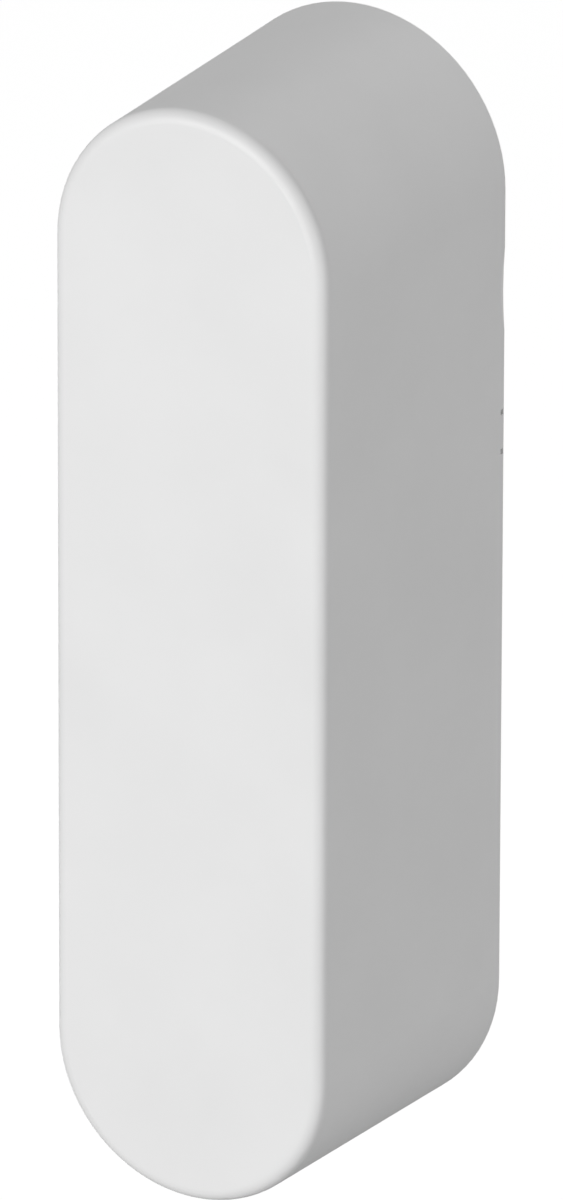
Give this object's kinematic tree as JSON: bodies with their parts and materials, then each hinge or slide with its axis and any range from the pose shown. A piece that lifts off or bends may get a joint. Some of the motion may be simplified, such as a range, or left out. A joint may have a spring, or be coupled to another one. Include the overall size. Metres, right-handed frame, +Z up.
{
  "type": "door and window contact sensor",
  "caption": "Wall-mounted wireless sensor unit in a tall pill-shaped plastic case, with a lift-off cover over a battery holder, circuit board and reed switch.",
  "frame": {"origin": "centre of the adhesive pad's outer face, where the unit meets the wall or frame", "axes": "+Z up the length of the unit, +Y into the wall, plain front face towards -Y"},
  "size_m": [0.023, 0.0238, 0.0816],
  "materials": {
    "case_plastic": "satin, finely eroded mould finish",
    "chassis_plastic": "satin",
    "foam_tape": "closed-cell acrylic foam, matt",
    "packing_foam": "open foam, matt",
    "board_laminate": "solder mask over glass laminate",
    "screw_steel": "zinc plated",
    "holder_plastic": "satin black",
    "contact_nickel": "nickel plated strip",
    "spring_steel": "nickel plated wire",
    "cell_steel": "nickel plated, bright",
    "cell_mix": "pressed powder",
    "cell_jacket": "shrunk film, gloss",
    "seal_nylon": "matt",
    "shield_tin": "tinned, satin",
    "chip_epoxy": "matt",
    "crystal_lid": "satin",
    "gold_plate": "gold flash over copper",
    "ferrite": "matt",
    "capacitor_ceramic": "satin",
    "resistor_coat": "satin",
    "solder_tin": "bright",
    "led_epoxy": "clear gloss",
    "clear_acrylic": "polished",
    "switch_body": "satin",
    "plunger_nylon": "matt",
    "button_plastic": "satin",
    "dome_steel": "bright",
    "reed_tube": "clear",
    "reed_alloy": "plated iron alloy"
  },
  "bodies": {
    "base": {"rear_chassis": "chassis_plastic", "snap_hooks": "chassis_plastic", "adhesive_pad": "foam_tape", "circuit_board": "board_laminate", "board_screws": "screw_steel", "battery_holder": "holder_plastic", "negative_contact": "contact_nickel", "positive_contact": "contact_nickel", "negative_spring": "spring_steel", "rf_shield": "shield_tin", "radio_chip": "chip_epoxy", "quartz_crystal": "crystal_lid", "antenna_trace": "gold_plate", "power_inductor": "ferrite", "boost_chip": "chip_epoxy", "boost_legs": "solder_tin", "chip_capacitors": "capacitor_ceramic", "chip_resistors": "resistor_coat", "chip_terminals": "solder_tin", "test_pads": "gold_plate", "status_led": "led_epoxy", "light_pipe": "clear_acrylic", "switch_base": "switch_body", "switch_dome": "dome_steel", "switch_legs": "solder_tin", "reed_glass": "reed_tube", "reed_leads": "reed_alloy"},
    "cover": {"front_cover": "case_plastic", "foam_strip": "packing_foam"},
    "cell": {"cell_can": "cell_steel", "cell_core": "cell_mix", "cell_sleeve": "cell_jacket", "cell_positive_cap": "cell_steel", "cell_seal": "seal_nylon"},
    "button": {"pairing_button": "button_plastic", "switch_plunger": "plunger_nylon"},
    "blade": {"reed_blade": "reed_alloy"}
  },
  "joints": [
    {"name": "cover_lift", "type": "slide", "parent": "base", "child": "cover", "axis": [0, -1, 0], "range_m": [0, 0.045], "deforming": ["snap_hooks"]},
    {"name": "battery_lift", "type": "slide", "parent": "base", "child": "cell", "axis": [0, -1, 0], "range_m": [0, 0.027]},
    {"name": "button_press", "type": "slide", "parent": "base", "child": "button", "axis": [0, 1, 0], "range_m": [0, 0.00025], "stiffness_N_per_m": 6000, "deforming": ["switch_dome"]},
    {"name": "reed_blade_flex", "type": "hinge", "parent": "base", "child": "blade", "pos_m": [0.00716, -0.00783, 0.0163], "axis": [1, 0, 0], "range_deg": [0, 1], "stiffness_Nm_per_rad": 0.0025}
  ],
  "couplings": [
    {"joint": "battery_lift", "follows": "cover_lift", "ratio": 0.6}
  ]
}
